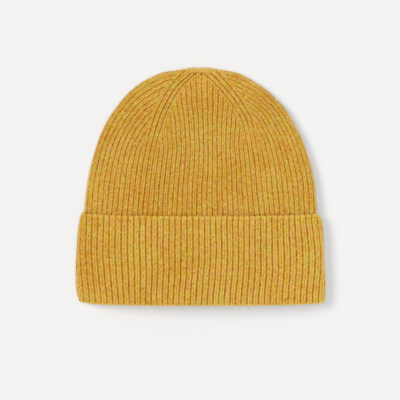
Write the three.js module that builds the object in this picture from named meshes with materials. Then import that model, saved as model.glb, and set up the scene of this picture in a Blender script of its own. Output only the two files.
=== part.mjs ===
// Cuffed beanie, lying flat on its back: mouth towards -Y, crown top towards +Y, floor at Z = 0. Millimetres.
import * as THREE from "three";

// Knit
const RIBS_AROUND = 92;
const RIBS_PER_QUARTER = RIBS_AROUND / 4;
const WEDGE_HALF_RIBS = 10.5;
const BAND_RIBS = 2;
const WALL = 2.6;
const GAP = 0.3;
const GROOVE_DEPTH = 0.9;
const RIDGE_HALF_SHARE = 0.3;
const YARN_COLOUR = 0xcb9c41;

// Lying thickness of the free crown and of the cuff with the four layers it holds
const CROWN_SECTION = { foldDepth: 5.0, halfHeight: 5.5, middle: 5.5, rise: 9.0 };
const CUFF_SECTION = { foldDepth: 6.4, halfHeight: 6.9, middle: 6.9, rise: 12.5 };
const RISE_REACH = 35;
const CROWN_FREE_FROM_Y = -24;
const CROWN_FLAT_FROM_Y = 4;
const SIDE_ROLL = 0.05;

// Turned-up cuff
const CUFF_TOP_Y = -26.6;
const CUFF_TOP_BOW = 2.4;
const CUFF_BOTTOM_Y = -109.5;
const CUFF_BOTTOM_BOW = 2.0;
const CUFF_HALF_WIDTH = 115;
const LIP_HEIGHT = 2.4;
const LIP_ROUND = 0.6;
const FOLD_RADIUS = (2 * WALL + GAP) / 2;
const FOLD_INNER_RADIUS = GAP / 2;
const LIP_INNER_WALL = 2.1;
const OUTER_SHARES = [0.01, 0.2, 0.5, 0.85, 1];
const INNER_SHARES = [1, 0.6, 0];

// Cuff outline: x of the left and right edge at height y
const CUFF_EDGES = [
  { y: -24.0, left: -109.8, right: 110.0 },
  { y: -31.0, left: -111.7, right: 111.9 },
  { y: -41.0, left: -113.2, right: 112.9 },
  { y: -56.8, left: -114.3, right: 113.4 },
  { y: -72.0, left: -115.2, right: 113.8 },
  { y: -90.0, left: -115.2, right: 115.0 },
  { y: -99.2, left: -114.1, right: 114.6 },
  { y: -106.9, left: -111.4, right: 113.4 },
];

// Cuff grooves on the front: x of every fifth groove at four heights
const CUFF_GROOVE_HEIGHTS = [-32.8, -58.6, -77.1, -95.5];
const CUFF_GROOVES = [
  { groove: -20, x: [-109.5, -110.8, -109.7, -108.0] },
  { groove: -15, x: [-83.2, -83.8, -82.6, -80.9] },
  { groove: -10, x: [-55.4, -55.4, -54.7, -54.9] },
  { groove: -5, x: [-28.4, -28.7, -28.4, -29.5] },
  { groove: 0, x: [-1.6, -1.1, -2.0, -3.5] },
  { groove: 5, x: [24.4, 24.8, 24.1, 22.4] },
  { groove: 10, x: [50.0, 50.0, 49.9, 48.3] },
  { groove: 15, x: [75.8, 76.6, 76.7, 75.2] },
  { groove: 20, x: [102.4, 105.2, 105.0, 103.3] },
];

// Crown courses, bottom to top: ribs left in half a wedge, plan points of the front middle, the decrease bands and
// the side folds, and how far the back lies closer to the top edge than the front
const CROWN_COURSES = [
  { ribs: 10.5, middle: [-0.9, -23.6], leftBand: [-52.7, -23.6], leftSide: [-106.2, -23.6],
    rightBand: [54.3, -23.6], rightSide: [106.5, -23.6], backLead: 0 },
  { ribs: 10.5, middle: [-0.9, -3.3], leftBand: [-50.8, -3.3], leftSide: [-105.2, -2.3],
    rightBand: [51.9, -3.3], rightSide: [105.6, -2.3], backLead: 0 },
  { ribs: 10.5, middle: [0.4, 15.1], leftBand: [-48.9, 15.1], leftSide: [-101.7, 17.0],
    rightBand: [50.3, 15.6], rightSide: [101.9, 18.0], backLead: 0 },
  { ribs: 10.5, middle: [1.2, 33.6], leftBand: [-45.8, 32.6], leftSide: [-95.2, 40.0],
    rightBand: [47.4, 36.0], rightSide: [94.0, 42.2], backLead: 0 },
  { ribs: 9.7, middle: [1.1, 46.0], leftBand: [-43.5, 42.8], leftSide: [-87.8, 57.5],
    rightBand: [45.0, 50.0], rightSide: [86.3, 57.5], backLead: 0 },
  { ribs: 8.8, middle: [0.9, 57.0], leftBand: [-40.3, 54.2], leftSide: [-80.2, 69.8],
    rightBand: [42.4, 61.2], rightSide: [78.4, 70.9], backLead: 0 },
  { ribs: 7.7, middle: [0.7, 65.5], leftBand: [-37.4, 63.5], leftSide: [-70.2, 82.5],
    rightBand: [38.9, 68.1], rightSide: [69.0, 81.5], backLead: 0 },
  { ribs: 6.4, middle: [0.5, 73.2], leftBand: [-34.0, 71.2], leftSide: [-59.5, 92.4],
    rightBand: [34.5, 75.5], rightSide: [58.7, 90.7], backLead: 0 },
  { ribs: 5.3, middle: [0.2, 79.8], leftBand: [-30.4, 78.4], leftSide: [-50.3, 98.4],
    rightBand: [30.1, 81.5], rightSide: [49.0, 97.1], backLead: 0.3 },
  { ribs: 3.9, middle: [0.0, 88.9], leftBand: [-24.6, 88.4], leftSide: [-36.9, 104.6],
    rightBand: [23.5, 89.3], rightSide: [36.0, 104.3], backLead: 1.2 },
  { ribs: 2.4, middle: [0.0, 96.2], leftBand: [-18.0, 95.8], leftSide: [-23.9, 107.4],
    rightBand: [16.8, 96.7], rightSide: [22.0, 107.4], backLead: 3.2 },
  { ribs: 0.9, middle: [-0.1, 104.1], leftBand: [-8.5, 104.2], leftSide: [-10.8, 109.15],
    rightBand: [8.2, 104.3], rightSide: [10.0, 109.1], backLead: 5.2 },
];
const CLOSURE = { x: -0.3, y: 106.6, sink: 1.4 };
const TOP_EDGE = [-1.2, 109.6];

// Courses that get a row of vertices, as places in the table above
const OUTER_COURSES = [0, 1, 2, 3, 4, 5, 6, 7, 8, 9, 10, 11];
const INNER_COURSES = [0, 1, 3, 5, 7, 9, 11];

function clamp(value, low, high) {
  return Math.min(high, Math.max(low, value));
}

function smoothStep(value) {
  const t = clamp(value, 0, 1);
  return t * t * (3 - 2 * t);
}

// Smooth value at a place between the entries of a list
function spline(values, place) {
  const last = values.length - 1;
  const i = clamp(Math.floor(place), 0, last - 1);
  const t = place - i;
  const b = values[i];
  const c = values[i + 1];
  const a = i > 0 ? values[i - 1] : 2 * b - c;
  const d = i < last - 1 ? values[i + 2] : 2 * c - b;
  return b + 0.5 * t * (c - a + t * (2 * a - 5 * b + 4 * c - d + t * (3 * (b - c) + d - a)));
}

// Value at x between the entries of two matching lists, x running either way, carried on past the ends
function between(xs, values, x) {
  const up = xs[1] > xs[0];
  let i = 0;
  while (i < xs.length - 2 && (up ? x > xs[i + 1] : x < xs[i + 1])) i += 1;
  return values[i] + ((values[i + 1] - values[i]) * (x - xs[i])) / (xs[i + 1] - xs[i]);
}

// Distance along the cloth to distance in plan from a side fold, and back
function planDepth(arc, foldDepth) {
  const quarter = (Math.PI / 2) * foldDepth;
  return arc < quarter ? foldDepth * (1 - Math.cos(arc / foldDepth)) : arc - quarter + foldDepth;
}

function clothDepth(depth, foldDepth) {
  const quarter = (Math.PI / 2) * foldDepth;
  return depth < foldDepth ? foldDepth * Math.acos(clamp(1 - depth / foldDepth, -1, 1)) : depth + quarter - foldDepth;
}

// Point of a lying layer: plan point, distance and direction to the fold, face +1 front or -1 back, inset under the
// outer surface
function layerPoint(x, y, depth, outward, face, section, inset) {
  const c = clamp(1 - depth / section.foldDepth, 0, 1);
  const g = Math.sqrt(1 - c * c);
  const rise = face > 0 ? section.rise * (1 - Math.exp(-depth / RISE_REACH)) : 0;
  const slope = face > 0 ? (section.rise / RISE_REACH) * Math.exp(-depth / RISE_REACH) : 0;
  const side = (section.halfHeight * c) / section.foldDepth + slope * g;
  const size = Math.hypot(side, g);
  const z = section.middle + face * section.halfHeight * g + rise;
  return [
    x - (inset * side * outward[0]) / size,
    y - (inset * side * outward[1]) / size,
    z - (inset * face * g) / size,
  ];
}

// Closed surface from rings of vertices; a ring is a list of points with the rib place of each
class Surface {
  constructor() {
    this.points = [];
    this.faces = [];
  }

  addRing(points) {
    const indices = [];
    points.forEach((point, i) => {
      const same = i > 0 && Math.hypot(...point.map((v, k) => v - points[i - 1][k])) < 1e-6;
      if (same) {
        indices.push(indices[i - 1]);
        return;
      }
      indices.push(this.points.length);
      this.points.push(point);
    });
    return indices;
  }

  addFace(a, b, c) {
    if (a !== b && b !== c && a !== c) this.faces.push([a, b, c]);
  }

  // Rings of equal count, the second one further along the outward-facing strip; turned swaps the diagonals
  join(lower, upper, turned = false) {
    const n = lower.length;
    for (let i = 0; i < n; i += 1) {
      const j = (i + 1) % n;
      this.addFace(lower[i], lower[j], turned ? upper[i] : upper[j]);
      this.addFace(turned ? lower[j] : lower[i], upper[j], upper[i]);
    }
  }

  // A plain ring with one vertex per groove to a ribbed ring with three
  joinToRibs(plain, ribbed, ribsAbove) {
    const n = plain.length;
    for (let i = 0; i < n; i += 1) {
      const j = (i + 1) % n;
      const fine = [ribbed[3 * i], ribbed[3 * i + 1], ribbed[3 * i + 2], ribbed[(3 * j) % ribbed.length]];
      const corners = [
        [plain[i], fine[1], fine[0]],
        [plain[i], plain[j], fine[1]],
        [plain[j], fine[2], fine[1]],
        [plain[j], fine[3], fine[2]],
      ];
      corners.forEach(([a, b, c]) => (ribsAbove ? this.addFace(a, b, c) : this.addFace(a, c, b)));
    }
  }

  fan(ring, point) {
    const tip = this.points.length;
    this.points.push(point);
    ring.forEach((a, i) => this.addFace(a, ring[(i + 1) % ring.length], tip));
    return tip;
  }

  mesh(name) {
    const geometry = new THREE.BufferGeometry();
    geometry.setAttribute("position", new THREE.Float32BufferAttribute(this.points.flat(), 3));
    geometry.setIndex(this.faces.flat());
    geometry.computeVertexNormals();
    const material = new THREE.MeshStandardMaterial({ color: YARN_COLOUR, roughness: 0.95, flatShading: true });
    const mesh = new THREE.Mesh(geometry, material);
    mesh.name = name;
    return mesh;
  }
}

// Rib places round a ring: grooves only, or each groove followed by the two edges of its ridge
function ringPlaces(withRidges) {
  const places = [];
  for (let i = 0; i < RIBS_AROUND; i += 1) {
    places.push({ rib: i - 0.5, groove: true });
    if (withRidges) {
      places.push({ rib: i - RIDGE_HALF_SHARE, groove: false });
      places.push({ rib: i + RIDGE_HALF_SHARE, groove: false });
    }
  }
  return places;
}
const GROOVE_PLACES = ringPlaces(false);
const RIB_PLACES = ringPlaces(true);

// Cuff shell: edges at a height, and a point by front or back place across it
function cuffEdges(y) {
  const heights = CUFF_EDGES.map((row) => row.y);
  return {
    left: between(heights, CUFF_EDGES.map((row) => row.left), y),
    right: between(heights, CUFF_EDGES.map((row) => row.right), y),
  };
}

// arc runs from the left fold over the front, 0 to 1, and on over the back to 2
function cuffPoint(arc, y, inset) {
  const edges = cuffEdges(y);
  const width = edges.right - edges.left;
  const cloth = width + (Math.PI - 2) * CUFF_SECTION.foldDepth;
  const face = arc <= 1 ? 1 : -1;
  const along = (arc <= 1 ? arc : 2 - arc) * cloth;
  const fromLeft = along < cloth / 2;
  const depth = planDepth(fromLeft ? along : cloth - along, CUFF_SECTION.foldDepth);
  const x = fromLeft ? edges.left + depth : edges.right - depth;
  return layerPoint(x, y, depth, [fromLeft ? -1 : 1, 0], face, CUFF_SECTION, inset);
}

// Place of a cuff rib in the arc above
function cuffArc(rib, y) {
  const edges = cuffEdges(y);
  const fold = CUFF_SECTION.foldDepth;
  const cloth = edges.right - edges.left + (Math.PI - 2) * fold;
  const arcs = CUFF_GROOVES.map((row) => {
    const x = between(CUFF_GROOVE_HEIGHTS, row.x, y);
    const fromLeft = x < 0;
    const depth = clothDepth(fromLeft ? x - edges.left : edges.right - x, fold);
    return (fromLeft ? depth : cloth - depth) / cloth;
  });
  const grooves = CUFF_GROOVES.map((row) => row.groove);
  const first = -20 - arcs[0] / ((arcs[1] - arcs[0]) / 5);
  const last = 20 + (1 - arcs[8]) / ((arcs[8] - arcs[7]) / 5);
  const groove = rib + 0.5;
  const place = groove > last ? groove - RIBS_AROUND : groove;
  if (place >= first) return between(grooves, arcs, place);
  return 1 + (place + RIBS_AROUND - last) / (first + RIBS_AROUND - last);
}

function cuffTopY(x) {
  return CUFF_TOP_Y + CUFF_TOP_BOW * Math.abs(x / CUFF_HALF_WIDTH) ** 3;
}

function cuffBaseY(x) {
  return CUFF_BOTTOM_Y + FOLD_RADIUS + CUFF_BOTTOM_BOW * Math.abs(x / CUFF_HALF_WIDTH) ** 4;
}

// Row of the cuff's upright part: heightOf gives y from the plan x
function cuffRow(places, heightOf, inset) {
  return places.map((place) => {
    const rib = ((place.rib + RIBS_AROUND / 2) % RIBS_AROUND) - RIBS_AROUND / 2;
    let y = (CUFF_TOP_Y + CUFF_BOTTOM_Y) / 2;
    for (let pass = 0; pass < 3; pass += 1) y = heightOf(cuffPoint(cuffArc(rib, y), y, 0)[0]);
    const depth = inset + (place.groove && places === RIB_PLACES ? GROOVE_DEPTH : 0);
    return cuffPoint(cuffArc(rib, y), y, depth);
  });
}

// Row of the rolled fold: angle 0 on the outer layer, 180 at its inner end
function foldRow(places, degrees, radius) {
  const angle = (degrees * Math.PI) / 180;
  return places.map((place) => {
    const rib = ((place.rib + RIBS_AROUND / 2) % RIBS_AROUND) - RIBS_AROUND / 2;
    let y = CUFF_BOTTOM_Y;
    for (let pass = 0; pass < 3; pass += 1) y = cuffBaseY(cuffPoint(cuffArc(rib, y), y, 0)[0]);
    const sunk = place.groove && places === RIB_PLACES ? GROOVE_DEPTH : 0;
    const reach = radius - sunk;
    const point = cuffPoint(cuffArc(rib, y), y, FOLD_RADIUS - reach * Math.cos(angle));
    return [point[0], point[1] - reach * Math.sin(angle), point[2]];
  });
}

// Height at a share of the way from the foot of the lip, 0, to the start of the fold, 1
function atHeight(share) {
  return (x) => cuffTopY(x) - LIP_HEIGHT + share * (cuffBaseY(x) - cuffTopY(x) + LIP_HEIGHT);
}

function makeCuff() {
  const surface = new Surface();
  const ring = (points) => surface.addRing(points);
  const innerTop = ring(cuffRow(GROOVE_PLACES, (x) => cuffTopY(x) - LIP_ROUND, LIP_INNER_WALL));
  const crest = ring(cuffRow(GROOVE_PLACES, cuffTopY, LIP_INNER_WALL / 2));
  const outerTop = ring(cuffRow(GROOVE_PLACES, (x) => cuffTopY(x) - LIP_ROUND, 0));
  const lipEnd = ring(cuffRow(GROOVE_PLACES, atHeight(0), 0));
  const ribbed = OUTER_SHARES.map((share) => ring(cuffRow(RIB_PLACES, atHeight(share), 0)));
  ribbed.push(ring(foldRow(RIB_PLACES, 75, FOLD_RADIUS)));
  const innerRows = [
    ring(foldRow(GROOVE_PLACES, 125, FOLD_RADIUS)),
    ring(foldRow(GROOVE_PLACES, 180, FOLD_RADIUS)),
    ring(foldRow(GROOVE_PLACES, 180, FOLD_INNER_RADIUS)),
    ...INNER_SHARES.map((share) => ring(cuffRow(GROOVE_PLACES, atHeight(share), WALL))),
    innerTop,
  ];
  surface.join(crest, innerTop);
  surface.join(outerTop, crest);
  surface.join(lipEnd, outerTop);
  surface.joinToRibs(lipEnd, ribbed[0], false);
  for (let i = 0; i < ribbed.length - 1; i += 1) surface.join(ribbed[i + 1], ribbed[i]);
  surface.joinToRibs(innerRows[0], ribbed[ribbed.length - 1], true);
  for (let i = 0; i < innerRows.length - 1; i += 1) surface.join(innerRows[i + 1], innerRows[i], true);
  return surface.mesh("cuff");
}

// Crown course at a place in the table
function courseAt(place) {
  const value = (pick) => spline(CROWN_COURSES.map(pick), place);
  const point = (key) => [value((row) => row[key][0]), value((row) => row[key][1])];
  const i = Math.floor(place);
  const flat = CROWN_COURSES[i].ribs === WEDGE_HALF_RIBS && place <= 3;
  return {
    ribs: flat ? WEDGE_HALF_RIBS : value((row) => row.ribs),
    middle: point("middle"),
    left: { band: point("leftBand"), side: point("leftSide") },
    right: { band: point("rightBand"), side: point("rightSide") },
    backLead: Math.max(0, value((row) => row.backLead)),
  };
}

// Plan outline of the free crown, left side up over the top edge and down the right side
function crownOutline() {
  const steps = 88;
  const left = [];
  const right = [];
  for (let i = 0; i <= steps; i += 1) {
    const course = courseAt(((CROWN_COURSES.length - 1) * i) / steps);
    left.push(course.left.side);
    right.push(course.right.side);
  }
  const below = (side) => [side[0] * 1.001, side[1] - 90];
  return [below(left[0]), ...left, TOP_EDGE, ...right.reverse(), below(right[right.length - 1])];
}
const OUTLINE = crownOutline();

// Distance to the outline and the direction towards it
function toOutline(x, y) {
  let best = { depth: Infinity, outward: [0, 1] };
  for (let i = 0; i < OUTLINE.length - 1; i += 1) {
    const [ax, ay] = OUTLINE[i];
    const [bx, by] = OUTLINE[i + 1];
    const dx = bx - ax;
    const dy = by - ay;
    const t = clamp(((x - ax) * dx + (y - ay) * dy) / (dx * dx + dy * dy), 0, 1);
    const depth = Math.hypot(x - ax - t * dx, y - ay - t * dy);
    const size = Math.hypot(dx, dy);
    if (depth < best.depth) best = { depth, outward: [-dy / size, dx / size] };
  }
  return best;
}

// Lying section of the crown: held up by the cuff near it, flat on the floor further up
function crownSection(y) {
  const t = smoothStep((y - CROWN_FREE_FROM_Y) / (CROWN_FLAT_FROM_Y - CROWN_FREE_FROM_Y));
  const inset = WALL + GAP;
  const held = {
    foldDepth: CUFF_SECTION.foldDepth - inset,
    halfHeight: CUFF_SECTION.halfHeight - inset,
    middle: CUFF_SECTION.middle,
    rise: CUFF_SECTION.rise,
  };
  const mix = (key) => held[key] + (CROWN_SECTION[key] - held[key]) * t;
  return { foldDepth: mix("foldDepth"), halfHeight: mix("halfHeight"), middle: mix("middle"), rise: mix("rise") };
}

// Rib place in its quarter, squeezed to the ribs this course has left
function squeezed(rib, ribs) {
  const round = ((rib % RIBS_AROUND) + RIBS_AROUND) % RIBS_AROUND;
  const right = round <= 2 * RIBS_PER_QUARTER;
  const over = right ? round : RIBS_AROUND - round;
  const front = over <= RIBS_PER_QUARTER;
  const q = front ? over : 2 * RIBS_PER_QUARTER - over;
  const bandEnd = WEDGE_HALF_RIBS + BAND_RIBS;
  const cut = ribs < WEDGE_HALF_RIBS;
  if (q <= WEDGE_HALF_RIBS) return { right, front, place: Math.min(q, ribs), edge: cut && q >= ribs };
  if (q <= bandEnd) return { right, front, place: ribs + q - WEDGE_HALF_RIBS, edge: false };
  const fromSide = RIBS_PER_QUARTER - q;
  const total = 2 * ribs + BAND_RIBS;
  return { right, front, place: total - Math.min(fromSide, ribs), edge: cut && fromSide >= ribs };
}

// Plan point and face of a squeezed rib place
function crownPlan(at, course) {
  const halfBand = BAND_RIBS / 2;
  const side = at.right ? course.right : course.left;
  const toBand = course.ribs + halfBand;
  const lift = (point, share) => [point[0], point[1] + share * course.backLead];
  if (at.place <= toBand) {
    const share = at.place / toBand;
    const lead = at.front ? 0 : 1;
    const from = lift(course.middle, lead);
    const to = lift(side.band, lead);
    return { x: from[0] + (to[0] - from[0]) * share, y: from[1] + (to[1] - from[1]) * share, face: at.front ? 1 : -1 };
  }
  const toFold = halfBand + course.ribs * (1 + SIDE_ROLL);
  const wholeSide = 2 * (course.ribs + halfBand);
  const passed = at.place - toBand;
  const fromFrontBand = at.front ? passed : wholeSide - passed;
  const face = fromFrontBand <= toFold ? 1 : -1;
  const band = lift(side.band, face > 0 ? 0 : 1);
  const length = Math.hypot(side.side[0] - band[0], side.side[1] - band[1]);
  const section = crownSection(side.side[1]);
  const cloth = clothDepth(length, section.foldDepth);
  const share = face > 0 ? 1 - fromFrontBand / toFold : (fromFrontBand - toFold) / (wholeSide - toFold);
  const depth = Math.min(planDepth(share * cloth, section.foldDepth), length);
  return {
    x: side.side[0] + ((band[0] - side.side[0]) * depth) / length,
    y: side.side[1] + ((band[1] - side.side[1]) * depth) / length,
    face,
  };
}

function crownRow(places, place, inset) {
  const course = courseAt(place);
  return places.map((spot) => {
    const at = squeezed(spot.rib, course.ribs);
    const plan = crownPlan(at, course);
    const near = toOutline(plan.x, plan.y);
    const sunk = places === RIB_PLACES && (spot.groove || at.edge) ? GROOVE_DEPTH : 0;
    return layerPoint(plan.x, plan.y, near.depth, near.outward, plan.face, crownSection(plan.y), inset + sunk);
  });
}

function makeCrown() {
  const surface = new Surface();
  const ring = (points) => surface.addRing(points);
  const hidden = WALL + GAP;
  const heights = [(x) => cuffBaseY(x) + GAP, ...INNER_SHARES.slice(1).map(atHeight)];
  const tucked = heights.map((heightOf) => ring(cuffRow(GROOVE_PLACES, heightOf, hidden)));
  const tuckedInside = heights.map((heightOf) => ring(cuffRow(GROOVE_PLACES, heightOf, hidden + WALL)));
  const ribbed = OUTER_COURSES.map((place) => ring(crownRow(RIB_PLACES, place, 0)));
  const inside = INNER_COURSES.map((place) => ring(crownRow(GROOVE_PLACES, place, WALL)));
  for (let i = 0; i < tucked.length - 1; i += 1) surface.join(tucked[i], tucked[i + 1]);
  surface.joinToRibs(tucked[tucked.length - 1], ribbed[0], true);
  for (let i = 0; i < ribbed.length - 1; i += 1) surface.join(ribbed[i], ribbed[i + 1]);
  const height = CROWN_SECTION.middle + CROWN_SECTION.halfHeight - CLOSURE.sink;
  surface.fan(ribbed[ribbed.length - 1], [CLOSURE.x, CLOSURE.y, height]);
  surface.join(tuckedInside[0], tucked[0]);
  for (let i = 0; i < tucked.length - 1; i += 1) surface.join(tuckedInside[i + 1], tuckedInside[i], true);
  surface.join(inside[0], tuckedInside[tucked.length - 1]);
  for (let i = 0; i < inside.length - 1; i += 1) surface.join(inside[i + 1], inside[i], true);
  surface.fan([...inside[inside.length - 1]].reverse(), [CLOSURE.x, CLOSURE.y, height - WALL]);
  return surface.mesh("crown");
}

const beanie = new THREE.Group();
beanie.name = "beanie";
beanie.add(makeCrown(), makeCuff());

export default beanie;
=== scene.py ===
import bpy
import numpy as np
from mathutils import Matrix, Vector


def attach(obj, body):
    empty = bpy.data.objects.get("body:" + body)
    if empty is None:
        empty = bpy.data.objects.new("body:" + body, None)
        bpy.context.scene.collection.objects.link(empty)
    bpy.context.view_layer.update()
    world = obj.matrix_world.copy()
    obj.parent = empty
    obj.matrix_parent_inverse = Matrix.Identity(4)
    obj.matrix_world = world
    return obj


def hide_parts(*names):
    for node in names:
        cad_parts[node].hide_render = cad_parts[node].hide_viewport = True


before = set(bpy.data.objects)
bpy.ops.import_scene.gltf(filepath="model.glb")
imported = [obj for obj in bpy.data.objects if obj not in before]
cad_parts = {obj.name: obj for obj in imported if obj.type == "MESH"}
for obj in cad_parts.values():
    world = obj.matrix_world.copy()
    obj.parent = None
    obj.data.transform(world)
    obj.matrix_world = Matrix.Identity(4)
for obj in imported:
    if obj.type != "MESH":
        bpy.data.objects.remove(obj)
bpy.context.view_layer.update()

# Lengths are in millimetres until a mesh is written
MM_PER_METRE = 1000

# Knit: the ribs go in four quarters, with a decrease band between two wedges
RIBS_AROUND = 92
RIBS_PER_QUARTER = RIBS_AROUND // 4
WEDGE_HALF_RIBS = 10.5
BAND_RIBS = 2
WALL = 2.6
GAP = 0.3
STITCH_HEIGHT = 1.75
CROWN_STITCHES = 85
CUFF_STITCHES = 49
ROWS_PER_STITCH = 3
# Places across one rib, from groove to groove, in ribs from the ridge's middle. The two knit columns of a
# ridge have their middles at -0.21 and 0.21, and each is a row of V stitches whose legs rise away from it
RIB_SAMPLES = (-0.5, -0.42, -0.315, -0.21, -0.105, 0.0, 0.105, 0.21, 0.315, 0.42)
COLUMN_MIDDLE = 0.21
# Distance from a band's edge, in ribs, that stands for no edge near
NO_EDGE = 9.0

# Relief of the knit: depths, widths in ribs, and shares by which stitches and grooves differ in depth and in
# painted shade
LEG_LEAN = 0.62
LEG_VALLEY = 0.36
LEG_UNEVEN = 0.14
YARN_UNEVEN = 0.07
STITCH_GAP = 0.42
STITCH_GAP_SHADE = 0.4
VALLEY_SHADE = 0.42
MIDDLE_LINE_WIDTH = 0.07
MIDDLE_LINE_SHADE = 0.55
BAND_EDGE_WIDTH = 0.12
CROWN_GROOVE = 1.05
CROWN_GROOVE_WIDTH = 0.085
CROWN_GROOVE_UNEVEN = 0.22
CROWN_MIDDLE_LINE = 0.25
CUFF_GROOVE = 1.45
CUFF_GROOVE_WIDTH = 0.1
CUFF_GROOVE_UNEVEN = 0.2
CUFF_MIDDLE_LINE = 0.7
INSIDE_GROOVE = 0.6
INSIDE_SHADE = 0.6
# Small holes in the grooves of the decrease bands, one in every so many stitches
BAND_HOLE = 0.8
BAND_HOLE_EVERY = 3
BAND_SHADE = 0.25
BAND_HOLE_SHADE = 0.7
# Where the decreases begin the grooves are pressed shut: middle x, y and size across and along
BAND_FEET = ((-33.0, 50.0, 9.0, 13.0), (48.0, 47.0, 12.0, 13.0))
BAND_FOOT_SOFTNESS = 0.6
# At the gathered top they are shallower
GATHERED_SOFTNESS = 0.55
# Painted shade: the crown is painted a little darker than the cuff, and darker still close to the cuff's lip
CROWN_PAINTED_SHADE = 0.1
LIP_SHADE = 0.42
LIP_SHADE_REACH = 4.5

# Lying thickness of the free crown and of the cuff with the four layers it holds
CROWN_SECTION = {"fold_depth": 5.0, "half_height": 5.5, "middle": 5.5, "rise": 9.0}
CUFF_SECTION = {"fold_depth": 6.4, "half_height": 6.9, "middle": 6.9, "rise": 12.5}
RISE_REACH = 35.0
CROWN_FREE_FROM_Y = -24.0
CROWN_FLAT_FROM_Y = 4.0
SIDE_ROLL = 0.05

# Turned-up cuff
CUFF_TOP_Y = -27.2
CUFF_TOP_BOW = 2.4
CUFF_BOTTOM_Y = -109.5
CUFF_BOTTOM_BOW = 2.0
CUFF_HALF_WIDTH = 115.0
# The left corners lie a little higher
LEFT_TOP_RISE = 2.4
LEFT_BOTTOM_RISE = 1.0
LIP_HEIGHT = 1.3
LIP_WALL = 2.1
# Painted shade in the lip's notches between the ribs
LIP_HOLLOW_SHADE = 0.7
LIP_NOTCH = 0.55
LIP_DEGREES = (180, 145, 110, 75, 40, 10)
FOLD_RADIUS = (2 * WALL + GAP) / 2
FOLD_INNER_RADIUS = GAP / 2
FOLD_INNER_DEGREES = (180, 90, 0)
CUFF_INNER_HEIGHTS = (0.9, 0.6, 0.4, 0.2, 0.0)
# Stitches that the mottling counts on the cuff's hidden side and its lip
FOLD_INNER_STITCH = -40.0
CUFF_INNER_STITCHES = (-28.0, -22.0, -18.0, -14.0, -10.0)
LIP_STITCHES = (-2.0, -1.8, -1.6, -1.4, -1.2, -1.0)

# Cuff outline: x of the left and right edge at height y
CUFF_EDGES = (
    (-21.0, -107.2, 105.8),
    (-24.0, -109.6, 108.0),
    (-28.0, -110.8, 110.8),
    (-31.0, -111.7, 112.3),
    (-41.0, -113.2, 113.5),
    (-56.8, -114.3, 114.0),
    (-72.0, -115.2, 114.5),
    (-90.0, -115.2, 115.6),
    (-99.2, -114.1, 115.3),
    (-106.9, -111.4, 114.4),
)

# Cuff grooves on the front: x at four heights of every fifth groove, from number -20 to number 20
CUFF_GROOVE_STEP = 5
CUFF_GROOVE_ENDS = (-20, 20)
CUFF_GROOVE_HEIGHTS = (-32.8, -58.6, -77.1, -95.5)
CUFF_GROOVES = (
    (-109.5, -110.8, -109.7, -108.0),
    (-83.2, -83.8, -82.6, -80.9),
    (-55.4, -55.4, -54.7, -54.9),
    (-28.4, -28.7, -28.4, -29.5),
    (-1.6, -1.1, -2.0, -3.5),
    (24.4, 24.8, 24.1, 22.4),
    (50.0, 50.0, 49.9, 48.3),
    (75.8, 76.6, 76.7, 75.2),
    (102.4, 105.2, 105.0, 103.3),
)

# Crown courses, bottom to top: ribs left in half a wedge, front middle, left band, left side fold, right
# band, right side fold, and how far the back lies closer to the top edge than the front
CROWN_COURSES = (
    (10.5, (-0.9, -28.5), (-53.2, -28.5), (-107.8, -28.5), (54.9, -28.5), (107.9, -28.5), 0.0),
    (10.5, (-0.9, -3.3), (-50.8, -3.3), (-105.2, -2.3), (51.9, -3.3), (106.2, -2.3), 0.0),
    (10.5, (0.4, 15.1), (-48.9, 15.1), (-101.7, 17.0), (50.3, 15.6), (102.5, 18.0), 0.0),
    (10.5, (1.1, 33.6), (-45.8, 32.6), (-95.2, 40.0), (47.4, 36.0), (94.5, 42.2), 0.0),
    (9.7, (0.8, 46.0), (-43.5, 42.8), (-87.8, 57.5), (45.0, 50.0), (86.8, 57.5), 0.0),
    (8.8, (0.4, 57.0), (-40.3, 54.2), (-80.2, 69.8), (42.4, 61.2), (78.8, 70.9), 0.0),
    (7.7, (0.0, 65.5), (-37.4, 63.5), (-70.2, 82.5), (38.9, 68.1), (69.0, 81.5), 0.0),
    (6.4, (-0.4, 73.2), (-34.0, 71.2), (-59.5, 92.4), (34.5, 75.5), (58.7, 90.7), 0.0),
    (5.3, (-0.9, 79.8), (-30.4, 78.4), (-50.3, 98.4), (30.1, 81.5), (49.0, 97.1), 0.3),
    (3.9, (-1.4, 88.9), (-24.6, 88.4), (-36.9, 104.6), (23.5, 89.3), (36.0, 104.3), 1.2),
    (2.4, (-1.7, 96.2), (-18.0, 95.8), (-26.5, 106.6), (16.9, 96.7), (25.0, 106.8), 3.6),
    (0.9, (-1.9, 104.1), (-8.5, 104.2), (-17.0, 108.2), (9.2, 104.3), (15.5, 108.3), 5.9),
)
# Zones of courses, as places in the table: where a change begins, and how far it goes
RIBS_STEADY = (7, 4)
BAND_HOLES_BEGIN = (3.8, 1.4)
GROOVES_WEAKEN = (9.2, 1.2)
LEAN_ENDS = (9.4, 1.2)

# Closure, and the top edge between the last side folds
CLOSURE = (-0.3, 106.6)
CLOSURE_SINK = 0.3
TOP_EDGE = ((-11.0, 109.9), (-6.2, 110.9), (-1.0, 110.7), (4.8, 110.2), (9.0, 109.4))
GATHER_HOLES = ((-4.6, 103.4), (0.8, 103.4))
GATHER_RADIUS = 1.1
GATHER_DEPTH = 2.4
CLOSING_ROWS = 9
CLOSING_ARCH = 0.9
CLOSING_SHADE = 0.15
# Behind the closure the cloth arches higher and leans back: y where that begins, and how far it goes
BEHIND_CLOSURE = (105, 4)
BEHIND_ARCH = 1.5
BEHIND_LEAN = 0.5

# Hidden stretches: mesh rows, heights in the cuff, and the stitches that the mottling counts there
INSIDE_ROWS = 22
INSIDE_FIRST_STITCH = -100.0
TUCKED_HEIGHTS = (0.6, 0.25, 0.12)
TUCKED_INSIDE_STITCHES = (-94.6, -89.0, -73.0, -55.0)
TUCKED_STITCHES = (-53.5, -35.5, -19.5, -14.0)

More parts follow.
